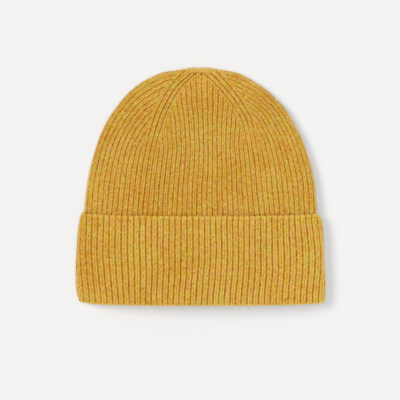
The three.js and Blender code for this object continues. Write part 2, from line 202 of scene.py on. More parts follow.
# Loose fibres
FUZZ_LENGTH = 2.4
FUZZ_SHORTEST = 0.4
FUZZ_UPRIGHT = (0.25, 0.9)
FUZZ_SCATTER = 0.45
FUZZ_BEND = 0.5
FUZZ_RADIUS = 0.04
FUZZ_ROOT = 0.15
FUZZ_LIFT = 1.5
FUZZ_MOST_DOWNWARD = -0.75
FUZZ_ON_FLAT_CLOTH = 0.15
FUZZ_DEEPEST_HOLLOW = 0.4
# Loose fibres are painted lighter than the crests, and with painted sheen
FUZZ_PAINTED_LIGHT = -0.25
FUZZ_PAINTED_SHEEN = 0.6
CROWN_FIBRES = 8000
CUFF_FIBRES = 7000

# Painted sheen: the yarn is painted paler where the cloth turns away from the top: how upright the cloth is
# where that begins, and over how much
PAINTED_SHEEN_TILT = (0.8, 0.6)

# How the cloth lies: sideways wander of the ribs and slow rise and fall of the front
WANDER = 0.035
WANDER_SIZE = 13.0
OWN_WANDER = 0.7
OWN_WANDER_SIZE = 8.0
SWELL = 0.9
SWELL_SIZE = 38.0
SWELL_HEIGHTS = (8.0, 8.0)
# Shifts within the noises, in ribs, so that the cuff and the crown don't repeat each other
CROWN_YARN_SHIFT = 40
CUFF_YARN_SHIFT = 60
CUFF_LEAN_SHIFT = 17
CUFF_WANDER_SHIFT = 5

rng = np.random.default_rng(20)
LATTICE_SIZE = 64
LATTICE = rng.random((LATTICE_SIZE, LATTICE_SIZE))


def smooth_step(value):
    t = np.clip(value, 0, 1)
    return t * t * (3 - 2 * t)


def soft_noise(u, v):
    """Smooth noise from -1 to 1, one bump per unit."""
    u, v = np.broadcast_arrays(u, v)
    i, j = np.floor(u).astype(int), np.floor(v).astype(int)
    s, t = smooth_step(u - i), smooth_step(v - j)
    i, j, next_i, next_j = (k % LATTICE_SIZE for k in (i, j, i + 1, j + 1))
    a, b, c, d = LATTICE[i, j], LATTICE[next_i, j], LATTICE[i, next_j], LATTICE[next_i, next_j]
    return 2 * ((a * (1 - s) + b * s) * (1 - t) + (c * (1 - s) + d * s) * t) - 1


def spline(values, place):
    """Smooth value at a place between the entries of a list; an entry may be an array."""
    last = len(values) - 1
    i = np.clip(np.floor(place).astype(int), 0, last - 1)
    t = place - i
    padded = [2 * values[0] - values[1], *values, 2 * values[-1] - values[-2]]
    stack = np.array([np.broadcast_to(value, place.shape) for value in padded])
    a, b, c, d = (np.take_along_axis(stack, (i + k)[None], axis=0)[0] for k in range(4))
    return b + 0.5 * t * (c - a + t * (2 * a - 5 * b + 4 * c - d + t * (3 * (b - c) + d - a)))


def plan_depth(arc, fold_depth):
    """Distance along the cloth from a side fold to distance in plan."""
    quarter = np.pi / 2 * fold_depth
    rolled = fold_depth * (1 - np.cos(np.minimum(arc, quarter) / fold_depth))
    return np.where(arc < quarter, rolled, arc - quarter + fold_depth)


def cloth_depth(depth, fold_depth):
    """Distance in plan from a side fold to distance along the cloth."""
    quarter = np.pi / 2 * fold_depth
    inner = fold_depth * np.arccos(np.clip(1 - depth / fold_depth, -1, 1))
    return np.where(depth < fold_depth, inner, depth + quarter - fold_depth)


def lying_layer(x, y, depth, outward, face, section):
    """Point of a lying layer and its outward normal, from the plan point and its distance to the fold."""
    across = np.clip(1 - depth / section["fold_depth"], 0, 1)
    up = np.sqrt(1 - across * across)
    fall = np.exp(-depth / RISE_REACH)
    front = face > 0
    slope = np.where(front, section["rise"] / RISE_REACH * fall, 0)
    rise = np.where(front, section["rise"] * (1 - fall), 0)
    z = section["middle"] + face * section["half_height"] * up + rise
    side = section["half_height"] * across / section["fold_depth"] + slope * up
    size = np.hypot(side, up)
    point = np.stack([x, y, z], axis=-1)
    normal = np.stack([side * outward[0] / size, side * outward[1] / size, face * up / size], axis=-1)
    return point, normal


# Cuff

EDGE_Y = np.linspace(-20, -115, 400)
EDGE_SOFTENING = 12


def softened_edge(column):
    """The cuff's left or right edge at each EDGE_Y, its corners rounded by a running mean."""
    rows = np.array(CUFF_EDGES)[::-1]
    line = np.interp(EDGE_Y[::-1], rows[:, 0], rows[:, column])[::-1]
    window = 2 * EDGE_SOFTENING + 1
    return np.convolve(np.pad(line, EDGE_SOFTENING, mode="edge"), np.ones(window) / window, mode="valid")


EDGE_LEFT, EDGE_RIGHT = softened_edge(1), softened_edge(2)


def cuff_edges(y):
    return np.interp(-y, -EDGE_Y, EDGE_LEFT), np.interp(-y, -EDGE_Y, EDGE_RIGHT)


def cuff_point(arc, y):
    """arc runs from the left fold over the front, 0 to 1, and on over the back to 2."""
    left, right = cuff_edges(y)
    fold = CUFF_SECTION["fold_depth"]
    cloth = right - left + (np.pi - 2) * fold
    face = np.where(arc <= 1, 1, -1)
    along = np.where(arc <= 1, arc, 2 - arc) * cloth
    from_left = along < cloth / 2
    depth = plan_depth(np.where(from_left, along, cloth - along), fold)
    x = np.where(from_left, left + depth, right - depth)
    outward = (np.where(from_left, -1.0, 1.0), np.zeros_like(x))
    return lying_layer(x, y, depth, outward, face, CUFF_SECTION)


def cuff_arc(rib, y):
    """Arc place of a rib at height y; rib 0 is the front's middle rib."""
    left, right = cuff_edges(y)
    fold = CUFF_SECTION["fold_depth"]
    cloth = right - left + (np.pi - 2) * fold
    heights = np.array(CUFF_GROOVE_HEIGHTS)
    level = np.interp(-y, -heights, np.arange(float(len(heights))))
    level = level + np.where(y > heights[0], (heights[0] - y) / (heights[0] - heights[1]), 0)
    level = level + np.where(y < heights[-1], (heights[-1] - y) / (heights[-2] - heights[-1]), 0)
    arcs = []
    for places in CUFF_GROOVES:
        x = spline([np.float64(value) for value in places], level)
        depth = cloth_depth(np.where(x < 0, x - left, right - x), fold)
        arcs.append(np.where(x < 0, depth, cloth - depth) / cloth)
    left_end, right_end = CUFF_GROOVE_ENDS
    left_rib, right_rib = (arcs[1] - arcs[0]) / CUFF_GROOVE_STEP, (arcs[-1] - arcs[-2]) / CUFF_GROOVE_STEP
    first, last = left_end - arcs[0] / left_rib, right_end + (1 - arcs[-1]) / right_rib
    half = RIBS_AROUND / 2
    groove = (rib + half) % RIBS_AROUND - half + 0.5
    groove = np.where(groove > last, groove - RIBS_AROUND, groove)
    front = spline(arcs, (groove - left_end) / CUFF_GROOVE_STEP)
    front = np.where(groove < left_end, arcs[0] + (groove - left_end) * left_rib, front)
    front = np.where(groove > right_end, arcs[-1] + (groove - right_end) * right_rib, front)
    back = 1 + (groove + RIBS_AROUND - last) / (first + RIBS_AROUND - last)
    return np.where(groove >= first, np.clip(front, 0, 1), back)


def cuff_top_y(x):
    """Height of the cuff's lip."""
    bow = CUFF_TOP_BOW * np.abs(x / CUFF_HALF_WIDTH) ** 3
    return CUFF_TOP_Y + bow + LEFT_TOP_RISE * smooth_step((-x - 103) / 6)


def cuff_base_y(x):
    """Height at which the rolled fold starts."""
    bow = CUFF_BOTTOM_BOW * np.abs(x / CUFF_HALF_WIDTH) ** 4
    return CUFF_BOTTOM_Y + FOLD_RADIUS + bow + LEFT_BOTTOM_RISE * smooth_step((-x - 97) / 12)


def cuff_row(rib, height_of):
    """One row round the cuff: points and normals of its outer surface."""
    y = np.full_like(rib, (CUFF_TOP_Y + CUFF_BOTTOM_Y) / 2)
    for _ in range(4):
        y = height_of(cuff_point(cuff_arc(rib, y), y)[0][..., 0])
    return cuff_point(cuff_arc(rib, y), y)


def at_height(share):
    """Height at a share of the way from the foot of the lip, 0, to the start of the fold, 1."""
    return lambda x: cuff_top_y(x) - LIP_HEIGHT + share * (cuff_base_y(x) - cuff_top_y(x) + LIP_HEIGHT)


# Crown

def course_at(place):
    """The course's numbers at each place of the table."""
    def value(pick):
        return spline([np.float64(pick(row)) for row in CROWN_COURSES], place)

    def point(k):
        return value(lambda row: row[k][0]), value(lambda row: row[k][1])

    ribs = np.where(place <= 3, WEDGE_HALF_RIBS, np.minimum(value(lambda row: row[0]), WEDGE_HALF_RIBS))
    lead = np.maximum(value(lambda row: row[6]), 0)
    return {"ribs": ribs, "middle": point(1), "left_band": point(2), "left_side": point(3),
            "right_band": point(4), "right_side": point(5), "lead": lead}


OUTLINE_STEPS = 177
OUTLINE_FOOT = 90


def crown_outline():
    """Points round the crown: up the left side fold, over the top edge and down the right side fold."""
    course = course_at(np.linspace(0, len(CROWN_COURSES) - 1, OUTLINE_STEPS))
    left = np.stack(course["left_side"], axis=-1)
    right = np.stack(course["right_side"], axis=-1)[::-1]
    below_left, below_right = (end * (1.001, 1) - (0, OUTLINE_FOOT) for end in (left[:1], right[-1:]))
    return np.concatenate([below_left, left, TOP_EDGE, right, below_right])


OUTLINE = crown_outline()
POINTS_AT_ONCE = 6000


def to_outline(x, y):
    """Distance to the crown's outline and the direction towards it."""
    start, step = OUTLINE[:-1], np.diff(OUTLINE, axis=0)
    length = np.hypot(step[:, 0], step[:, 1])
    flat = np.stack([x.ravel(), y.ravel()], axis=-1)
    depth, nearest = np.empty(len(flat)), np.empty(len(flat), int)
    for k in range(0, len(flat), POINTS_AT_ONCE):
        some = slice(k, k + POINTS_AT_ONCE)
        away = flat[some, None] - start[None]
        t = np.clip((away * step).sum(-1) / length ** 2, 0, 1)
        distance = np.hypot(away[..., 0] - t * step[:, 0], away[..., 1] - t * step[:, 1])
        nearest[some] = distance.argmin(1)
        depth[some] = distance.min(1)
    outward = (-step[nearest, 1] / length[nearest], step[nearest, 0] / length[nearest])
    return depth.reshape(x.shape), (outward[0].reshape(x.shape), outward[1].reshape(x.shape))


def crown_section(y):
    """Held up by the cuff near it, flat on the floor further up."""
    t = smooth_step((y - CROWN_FREE_FROM_Y) / (CROWN_FLAT_FROM_Y - CROWN_FREE_FROM_Y))
    inset = WALL + GAP
    held = {**CUFF_SECTION, "fold_depth": CUFF_SECTION["fold_depth"] - inset,
            "half_height": CUFF_SECTION["half_height"] - inset}
    return {key: held[key] + (CROWN_SECTION[key] - held[key]) * t for key in held}


def squeezed(rib, ribs):
    """Whether a rib is on the right and on the front, its place in its quarter once the course has only some
    ribs left, how far it is from the band's edge, and whether it is in one of the band's grooves."""
    round_place = rib % RIBS_AROUND
    right = round_place <= 2 * RIBS_PER_QUARTER
    over = np.where(right, round_place, RIBS_AROUND - round_place)
    front = over <= RIBS_PER_QUARTER
    from_middle = np.where(front, over, 2 * RIBS_PER_QUARTER - over)
    from_side = RIBS_PER_QUARTER - from_middle
    in_wedge = from_middle <= WEDGE_HALF_RIBS
    in_band = ~in_wedge & (from_middle < WEDGE_HALF_RIBS + BAND_RIBS)
    over_band = from_middle - WEDGE_HALF_RIBS
    beyond = 2 * ribs + BAND_RIBS - np.minimum(from_side, ribs)
    place = np.where(in_wedge, np.minimum(from_middle, ribs), np.where(in_band, ribs + over_band, beyond))
    to_edge = np.where(in_wedge, ribs - from_middle, np.where(in_band, NO_EDGE, ribs - from_side))
    decreased = ribs < WEDGE_HALF_RIBS - 0.01
    banded = decreased & ((in_band & (np.abs(over_band - BAND_RIBS / 2) < 0.1)) | (to_edge < 0.1))
    return right, front, place, np.where(decreased, np.maximum(to_edge, 0), NO_EDGE), banded


def crown_surface(rib, place):
    """Points and normals of the crown's outer surface on a grid of rib and course places, and how far each is
    from a band's edge."""
    course = course_at(place)
    ribs = course["ribs"]
    right, front, spot, to_edge, _ = squeezed(rib, ribs)
    half_band = BAND_RIBS / 2

    def side_of(name):
        return tuple(np.where(right, course["right_" + name][k], course["left_" + name][k]) for k in range(2))

    band, side = side_of("band"), side_of("side")
    to_band = ribs + half_band
    lead = np.where(front, 0, course["lead"])
    share = np.clip(spot / to_band, 0, 1)
    wedge_x = course["middle"][0] + (band[0] - course["middle"][0]) * share
    wedge_y = course["middle"][1] + (band[1] - course["middle"][1]) * share + lead
    to_fold = half_band + ribs * (1 + SIDE_ROLL)
    whole = 2 * (ribs + half_band)
    passed = spot - to_band
    from_band = np.where(front, passed, whole - passed)
    on_front = from_band <= to_fold
    band_y = band[1] + np.where(on_front, 0, course["lead"])
    length = np.hypot(side[0] - band[0], side[1] - band_y)
    fold = crown_section(side[1])["fold_depth"]
    cloth = cloth_depth(length, fold)
    share = np.where(on_front, 1 - from_band / to_fold, (from_band - to_fold) / (whole - to_fold))
    depth = np.minimum(plan_depth(np.clip(share, 0, 1) * cloth, fold), length)
    side_x = side[0] + (band[0] - side[0]) * depth / length
    side_y = side[1] + (band_y - side[1]) * depth / length
    wedge = spot <= to_band
    x, y = np.where(wedge, wedge_x, side_x), np.where(wedge, wedge_y, side_y)
    face = np.where(np.where(wedge, front, on_front), 1, -1)
    near, outward = to_outline(x, y)
    point, normal = lying_layer(x, y, near, outward, face, crown_section(y))
    return point, normal, to_edge


# Relief of the knit

def from_ridge(rib):
    """Distance from the ridge's middle, in ribs."""
    return np.abs(rib - np.round(rib))


def edge_fade(to_edge):
    """0 at a band's edge, where the stitches are knitted together, 1 from a quarter of a rib on."""
    return np.clip(to_edge * 4, 0, 1)


def knit_relief(rib, to_edge, gap, groove_depth, groove_width, middle_line, openness=1.0):
    """Depth under the ridge's highest yarn, and how deep in a hollow the place is, 0 to 1, which sets its
    painted shade.
    """
    across, fade = from_ridge(rib), edge_fade(to_edge)
    away_from_band = 0.1 + 0.9 * smooth_step((to_edge - 0.55) / 0.55)
    groove = np.exp(-(((0.5 - across) / groove_width) ** 2)) * away_from_band * openness
    groove = np.maximum(groove, np.exp(-((to_edge / BAND_EDGE_WIDTH) ** 2)))
    leg = np.abs(np.sin(np.pi * across / COLUMN_MIDDLE)) * (across < 2 * COLUMN_MIDDLE) * fade
    valley = (1 - leg) * (0.65 + 0.35 * np.cos(np.pi * across / COLUMN_MIDDLE)) * fade
    line = middle_line * np.exp(-((across / MIDDLE_LINE_WIDTH) ** 2)) * fade
    between = gap * fade
    depth = groove_depth * groove + LEG_VALLEY * (valley + line) + STITCH_GAP * between * (0.35 + 0.65 * leg)
    hollow = groove + VALLEY_SHADE * valley + MIDDLE_LINE_SHADE * line + STITCH_GAP_SHADE * between
    return depth, np.clip(hollow, 0, 1)


def leg_lean(rib, to_edge):
    """How far up a stitch's strand lies, in stitches: it rises from the column's middle to its sides."""
    rise = np.clip(np.abs(from_ridge(rib) - COLUMN_MIDDLE) / COLUMN_MIDDLE, 0, 1)
    return LEG_LEAN * rise * edge_fade(to_edge)


def stitch_gaps(rows):
    """1 on the mesh rows that lie between two stitches."""
    return (np.arange(rows) % ROWS_PER_STITCH == 0).astype(float)[:, None]


def swell(points):
    """Slow rise and fall of the cloth that lies on top."""
    lift = SWELL * soft_noise(points[..., 0] / SWELL_SIZE + 7, points[..., 1] / SWELL_SIZE + 11)
    begin, reach = SWELL_HEIGHTS
    points[..., 2] += lift * smooth_step((points[..., 2] - begin) / reach)
    return points


def wander(rib, along):
    """Sideways drift of a rib, in ribs, much the same for its neighbours."""
    angle = rib / RIBS_AROUND * 2 * np.pi
    drift = soft_noise(5.6 * np.cos(angle) + 20, 5.6 * np.sin(angle) + along / WANDER_SIZE)
    own = np.round(rib + 0.5) % RIBS_AROUND
    return WANDER * (drift + OWN_WANDER * soft_noise(own * 7.31 + 3, along / OWN_WANDER_SIZE + 31))


def uneven(rib, row):
    """Unevenness of the stitches, -1 to 1."""
    around = rib % RIBS_AROUND
    return soft_noise(np.round(around * 4.76) * 1.37, row * 0.71)


# Mesh making

# For each piece: points, normals, ribs and rows of its crests, and the cloth's area at each
YARN_SURFACE = {}
# Distances for merging doubles, dropping slivers and finding the ends of an open side, in metres
MERGE_DISTANCE = 2e-6
SLIVER = 1e-7
END_REACH = 3e-6


def new_piece(name, add, **settings):
    """A new object from one of the primitives."""
    bpy.ops.object.select_all(action="DESELECT")
    add(**settings)
    piece = bpy.context.active_object
    piece.name = piece.data.name = name
    return piece


def write_yarn(mesh, hollow, painted_sheen, rib, row):
    """Store how deep in a hollow each vertex is, which sets its painted shade, how much painted sheen it
    takes, and its rib and row as the UV map.
    """
    for layer, value in (("hollow", hollow), ("painted_sheen", painted_sheen)):
        values = np.broadcast_to(value, len(mesh.vertices)).astype(np.float32)
        mesh.attributes.new(layer, "FLOAT", "POINT").data.foreach_set("value", values)
    corner = np.empty(len(mesh.loops), int)
    mesh.loops.foreach_get("vertex_index", corner)
    knit = mesh.uv_layers.active or mesh.uv_layers.new()
    knit.name = "knit"
    uv = np.stack([rib, row], axis=-1)[corner]
    knit.data.foreach_set("uv", uv.ravel().astype(np.float32))


def knitted_piece(name, points, hollow, ribs, rows):
    """A grid bent to the rows of points, its doubles merged and its two sides walled up."""
    count, columns = hollow.shape
    grid = {"x_subdivisions": columns - 1, "y_subdivisions": count - 1, "size": 1}
    piece = new_piece(name, bpy.ops.mesh.primitive_grid_add, **grid)
    mesh = piece.data
    flat = np.empty(len(mesh.vertices) * 3)
    mesh.vertices.foreach_get("co", flat)
    flat = flat.reshape(-1, 3)
    column = np.rint((flat[:, 0] + 0.5) * (columns - 1)).astype(int)
    row = np.rint((flat[:, 1] + 0.5) * (count - 1)).astype(int)
    mesh.vertices.foreach_set("co", (points[row, column] / MM_PER_METRE).ravel())
    mesh.update()
    normals = np.empty(len(mesh.vertices) * 3)
    mesh.vertices.foreach_get("normal", normals)
    normals = normals.reshape(-1, 3)
    shade = hollow[row, column]
    crests = (rows[row] > 1) & (shade < FUZZ_DEEPEST_HOLLOW)
    across, along = (np.linalg.norm(np.gradient(points, axis=axis), axis=-1) for axis in (1, 0))
    area = across * along
    YARN_SURFACE[name] = (points[row, column][crests], normals[crests], ribs[column][crests],
                          rows[row][crests], area[row, column][crests])
    # Painted sheen where the cloth turns away from the top, none in the hollows
    begin, reach = PAINTED_SHEEN_TILT
    painted_sheen = smooth_step((begin - np.abs(normals[:, 2])) / reach) * np.clip(1 - 1.3 * shade, 0, 1)
    write_yarn(mesh, shade, painted_sheen, ribs[column], rows[row])
    bpy.ops.object.mode_set(mode="EDIT")
    bpy.ops.mesh.select_all(action="SELECT")
    bpy.ops.mesh.remove_doubles(threshold=MERGE_DISTANCE)
    bpy.ops.mesh.dissolve_degenerate(threshold=SLIVER)
    bpy.ops.object.mode_set(mode="OBJECT")
    wall_up(piece, points)
    bpy.ops.object.shade_smooth()
    for face in mesh.polygons:
        if len(face.vertices) > 4:
            face.use_smooth = False
            for loop in face.loop_indices:
                mesh.edges[mesh.loops[loop].edge_index].use_edge_sharp = True
    return piece


def unit(vectors):
    return vectors / np.linalg.norm(vectors, axis=1, keepdims=True)


def fibre_lines(pieces, count):
    """Root, bend and tip of each loose fibre, two directions across it, and its rib and row. Most fibres are
    at the folds, and none is under the beanie."""
    crests = zip(*(YARN_SURFACE[piece] for piece in pieces))
    root, away, rib, row, area = (np.concatenate(values) for values in crests)
    chance = FUZZ_ON_FLAT_CLOTH + (1 - np.abs(away[:, 2])) ** 2
    weight = area * chance * (root[:, 2] > FUZZ_LIFT) * (away[:, 2] > FUZZ_MOST_DOWNWARD)
    picked = rng.choice(len(root), count, p=weight / weight.sum())
    root, away, rib, row = root[picked], away[picked], rib[picked], row[picked]
    length = FUZZ_LENGTH * rng.uniform(FUZZ_SHORTEST, 1.0, (count, 1)) ** 1.5
    first = unit(away * rng.uniform(*FUZZ_UPRIGHT, (count, 1)) + rng.normal(0, FUZZ_SCATTER, (count, 3)))
    second = unit(first + rng.normal(0, FUZZ_BEND, (count, 3)))
    side = unit(np.cross(first, rng.normal(0, 1, (count, 3))))
    low = root - away * FUZZ_ROOT
    bend = low + first * length / 2
    tip = bend + second * length / 2
    return np.stack([low, bend, tip], axis=1), side, np.cross(first, side), rib, row


def make_fuzz(name, pieces, count):
    """Loose fibres that stand off the yarn; each is a bent three-sided spike."""
    line, side, other, rib, row = fibre_lines(pieces, count)
    piece = new_piece(name, bpy.ops.mesh.primitive_cone_add, vertices=3, radius1=1, radius2=0, depth=2)
    bpy.ops.object.mode_set(mode="EDIT")
    bpy.ops.mesh.select_all(action="SELECT")
    bpy.ops.mesh.bisect(plane_co=(0, 0, 0), plane_no=(0, 0, 1))
    bpy.ops.object.mode_set(mode="OBJECT")
    spike = np.array([vertex.co for vertex in piece.data.vertices])
    copies = piece.modifiers.new("copies", "ARRAY")
    copies.count = count
    copies.use_relative_offset, copies.use_constant_offset = False, True
    copies.constant_offset_displace = (0, 0, 4)
    bpy.ops.object.modifier_apply(modifier="copies")
    mesh = piece.data
    level = np.rint(spike[:, 2] + 1).astype(int)
    turn = np.arctan2(spike[:, 1], spike[:, 0])
    radius = FUZZ_RADIUS * np.array([1.0, 0.7, 0.0])[level]
    to_side = side[:, None] * (radius * np.cos(turn))[None, :, None]
    to_other = other[:, None] * (radius * np.sin(turn))[None, :, None]
    place = line[:, level] + (to_side + to_other)
    place[..., 2] = np.maximum(place[..., 2], FUZZ_RADIUS)
    mesh.vertices.foreach_set("co", (place / MM_PER_METRE).ravel())
    mesh.update()
    owner = np.arange(len(mesh.vertices)) // len(spike)
    write_yarn(mesh, FUZZ_PAINTED_LIGHT, FUZZ_PAINTED_SHEEN, rib[owner], row[owner])
    bpy.ops.object.mode_set(mode="EDIT")
    bpy.ops.mesh.select_all(action="SELECT")
    bpy.ops.mesh.normals_make_consistent(inside=False)
    bpy.ops.object.mode_set(mode="OBJECT")
    bpy.ops.object.shade_smooth()
    return piece


def wall_up(piece, points):
    """Close the two open sides of a piece that reaches only part of the way round."""
    ends = points[0, 0] / MM_PER_METRE, points[-1, 0] / MM_PER_METRE
    if np.linalg.norm(ends[0] - ends[1]) > MERGE_DISTANCE:
        bpy.ops.object.mode_set(mode="EDIT")
        bpy.ops.mesh.select_all(action="DESELECT")
        bpy.ops.object.mode_set(mode="OBJECT")
        for vertex in piece.data.vertices:
            vertex.select = any((vertex.co - Vector(end)).length < END_REACH for end in ends)
        bpy.ops.object.mode_set(mode="EDIT")
        bpy.ops.mesh.edge_face_add()
    else:
        bpy.ops.object.mode_set(mode="EDIT")
    bpy.ops.mesh.select_all(action="SELECT")
    bpy.ops.mesh.fill_holes(sides=0)
    bpy.ops.mesh.select_all(action="SELECT")
    bpy.ops.mesh.normals_make_consistent(inside=False)
    bpy.ops.object.mode_set(mode="OBJECT")


def rib_places(first_groove, ribs):
    """Places across so many ribs, from one groove to another."""
    places = [first_groove + 0.5 + i + offset for i in range(ribs) for offset in RIB_SAMPLES]
    return np.array([*places, first_groove + ribs])


# Steps in which the crown's length is measured
LENGTH_STEPS = 600


def crown_places(count):
    """Course places that lie evenly along the crown."""
    fine = np.linspace(0, len(CROWN_COURSES) - 1, LENGTH_STEPS)
    course = course_at(fine)
    length = 0
    for key in ("middle", "left_side", "right_side"):
        x, y = course[key]
        length = length + np.concatenate([[0], np.cumsum(np.hypot(np.diff(x), np.diff(y)))])
    return np.interp(np.linspace(0, length[-1], count), length, fine)


def past_zone(places, zone):
    """0 on the courses before a zone, 1 on those after it."""
    begin, reach = zone
    return smooth_step((places[:, None] - begin) / reach)


def groove_openness(point, places, to_edge):
    """1 where the crown's grooves are fully open, less at the gathered top and at the feet of the bands."""
    gathered = 1 - GATHERED_SOFTNESS * past_zone(places, GROOVES_WEAKEN)
    openness = np.where(to_edge < NO_EDGE, gathered, 1)
    for x, y, width, height in BAND_FEET:
        off = ((point[..., 0] - x) / width) ** 2 + ((point[..., 1] - y) / height) ** 2
        openness = openness * (1 - BAND_FOOT_SOFTNESS * np.exp(-off))
    return openness


def gather_holes(point, normal):
    """1 in the middle of each small hole below the closure, and 0 away from them and at the back."""
    holes = 0
    for x, y in GATHER_HOLES:
        off = (point[..., 0] - x) ** 2 + (point[..., 1] - y) ** 2
        holes = holes + np.exp(-(off / GATHER_RADIUS ** 2))
    return np.where(normal[..., 2] > 0, holes, 0)


def crown_outside(ribs):
    """Outer points of the free crown, how deep in a hollow each lies, the last course without its stitches,
    and how far its stitches are sunk under it."""
    count = CROWN_STITCHES * ROWS_PER_STITCH + 1
    places = crown_places(count)
    row = np.arange(count)[:, None]
    rib_grid = np.repeat(ribs[None], count, axis=0)
    steady = past_zone(places, RIBS_STEADY)
    drifted = rib_grid + wander(rib_grid, row / ROWS_PER_STITCH * STITCH_HEIGHT) * (1 - steady)
    ribs_left = course_at(places)["ribs"][:, None]
    to_edge, banded = squeezed(rib_grid, ribs_left)[3:]
    lean = leg_lean(rib_grid, to_edge) + LEG_UNEVEN * uneven(rib_grid, row) * edge_fade(to_edge)
    lean = lean * (1 - past_zone(places, LEAN_ENDS))
    place_grid = np.interp(row + lean * ROWS_PER_STITCH, row[:, 0], places)
    point, normal, to_edge = crown_surface(drifted, place_grid)
    groove_depth = CROWN_GROOVE * (1 + CROWN_GROOVE_UNEVEN * soft_noise(np.floor(rib_grid) * 5.3, row / 17))
    openness = groove_openness(point, places, to_edge)
    gaps = stitch_gaps(count) * (1 - steady * 0.6)
    depth, hollow = knit_relief(rib_grid, to_edge, gaps, groove_depth, CROWN_GROOVE_WIDTH,
                                CROWN_MIDDLE_LINE, openness)
    depth = depth - YARN_UNEVEN * uneven(rib_grid + CROWN_YARN_SHIFT, row) * (1 - hollow)
    banded = banded * past_zone(places, BAND_HOLES_BEGIN)
    eyelets = banded * (row % (BAND_HOLE_EVERY * ROWS_PER_STITCH) < 2)
    depth = depth + BAND_HOLE * eyelets
    hollow = hollow + BAND_SHADE * banded + BAND_HOLE_SHADE * eyelets
    # Painted shade over the whole crown, and more of it close to the cuff's lip
    from_lip = smooth_step((point[..., 1] - CUFF_TOP_Y) / LIP_SHADE_REACH)
    hollow = hollow + CROWN_PAINTED_SHADE + LIP_SHADE * (1 - from_lip)
    holes = gather_holes(point, normal)
    outer = point - normal * (depth + GATHER_DEPTH * holes)[..., None]
    # Painted shade in the small holes below the closure
    hollow = np.maximum(hollow, 1.4 * np.clip(holes, 0, 1))
    ring = point[-1] - normal[-1] * (GATHER_DEPTH * holes[-1])[:, None]
    return outer, hollow, ring, -normal[-1] * depth[-1][:, None]


def gathered_rows(ring, sunk, tip, closing):
    """Rows that run from the last course to the closure; closing is 0 at the one and 1 at the other."""
    rows = ring * (1 - closing) + tip * closing + sunk * (1 - closing) ** 3
    arch = 4 * closing * (1 - closing)
    begin, reach = BEHIND_CLOSURE
    behind = np.clip(ring[:, 1:2] - begin, 0, reach) / reach
    rows[..., 2:] += CLOSING_ARCH * (closing * (2 - closing) + BEHIND_ARCH * arch * behind)
    rows[..., 1] += (BEHIND_LEAN * arch * behind)[..., 0]
    return rows


def crown_tucked(ribs):
    """Rows of the body inside the cuff, from the bottom up: outer points, inner points and inner hollows."""
    heights = (lambda x: cuff_base_y(x) + GAP, *(at_height(share) for share in TUCKED_HEIGHTS))
    rows = [cuff_row(ribs, height) for height in heights]
    hidden = WALL + GAP
    no_edge = np.full_like(ribs, NO_EDGE)
    relief, hollow = knit_relief(ribs, no_edge, 0.0, INSIDE_GROOVE, CROWN_GROOVE_WIDTH, 0.0)
    inner_depth = (hidden + WALL + INSIDE_GROOVE - relief)[:, None]
    outer = np.array([point - normal * hidden for point, normal in rows])
    inner = np.array([point - normal * inner_depth for point, normal in rows])
    return outer, inner, np.repeat(hollow[None], len(rows), axis=0)


def crown_inside(ribs):
    """Inner points of the free crown, from the bottom up, and how deep in a hollow each lies."""
    rib_grid = np.repeat(ribs[None], INSIDE_ROWS, axis=0)
    place_grid = np.repeat(crown_places(INSIDE_ROWS)[:, None], len(ribs), axis=1)
    point, normal, to_edge = crown_surface(rib_grid, place_grid)
    relief, hollow = knit_relief(rib_grid, to_edge, 0.0, INSIDE_GROOVE, CROWN_GROOVE_WIDTH, 0.0)
    return point - normal * (WALL + INSIDE_GROOVE - relief)[..., None], hollow


def make_crown_panel(name, first_groove):
    """A quarter of the crown, from the middle of one decrease band to the middle of the next. Its rows run
    from the closure down the inside, round the hidden end and up the outside to the closure."""
    ribs = rib_places(first_groove, RIBS_PER_QUARTER)
    outer, hollow, ring, sunk = crown_outside(ribs)
    tip = np.array([*CLOSURE, CROWN_SECTION["middle"] + CROWN_SECTION["half_height"] - CLOSURE_SINK])
    closing = np.linspace(0, 1, CLOSING_ROWS + 1)[1:, None, None]
    closed = gathered_rows(ring, sunk, tip, closing)
    tucked, tucked_inside, tucked_hollow = crown_tucked(ribs)
    inside, inside_hollow = crown_inside(ribs)
    inner_tip = np.broadcast_to(tip - (0, 0, WALL), (1, len(ribs), 3))
    whole = np.concatenate([inner_tip, inside[::-1], tucked_inside[::-1], tucked, outer, closed])

    bare = np.zeros((len(tucked), len(ribs)))
    inner_shade = np.concatenate([bare[:1], inside_hollow[::-1] * INSIDE_SHADE, tucked_hollow * INSIDE_SHADE])
    share = closing[..., 0]
    closing_shade = hollow[-1][None] * (1 - share) ** 2 + CLOSING_SHADE * share
    shade = np.concatenate([inner_shade, bare, hollow, closing_shade])

    inside_stitches = INSIDE_FIRST_STITCH - np.linspace(CROWN_STITCHES, 0, INSIDE_ROWS)
    outside_stitches = np.arange(len(outer)) / ROWS_PER_STITCH
    closing_stitches = CROWN_STITCHES + np.arange(1, CLOSING_ROWS + 1) / ROWS_PER_STITCH
    stitches = np.concatenate([[inside_stitches[0] - 3], inside_stitches, TUCKED_INSIDE_STITCHES,
                               TUCKED_STITCHES, outside_stitches, closing_stitches])
    return knitted_piece(name, swell(whole), shade, ribs, stitches)


# Groove in the left side fold, the cuff's face from the foot of the lip to the start of the fold, and how far
# round the fold first the grooves and then the stitches run out
CUFF_SIDE_GROOVE = -22.5
CUFF_FACE = CUFF_TOP_Y - LIP_HEIGHT - CUFF_BOTTOM_Y - FOLD_RADIUS
GROOVE_RUN_OUT = 0.45 * np.pi * FOLD_RADIUS
STITCH_RUN_OUT = 0.5 * np.pi * FOLD_RADIUS


def cuff_path(ribs, past, depth):
    """Outer points of the cuff so far past the foot of the lip, down the face and round the fold."""
    share = past / CUFF_FACE
    point, normal = cuff_row(ribs, at_height(np.clip(share, 0, 1)))
    angle = np.clip((past - CUFF_FACE) / FOLD_RADIUS, 0, np.pi)
    reach = FOLD_RADIUS - depth
    ring = point - normal * (FOLD_RADIUS - reach * np.cos(angle))[:, None]
    ring[:, 1] -= reach * np.sin(angle)
    return ring


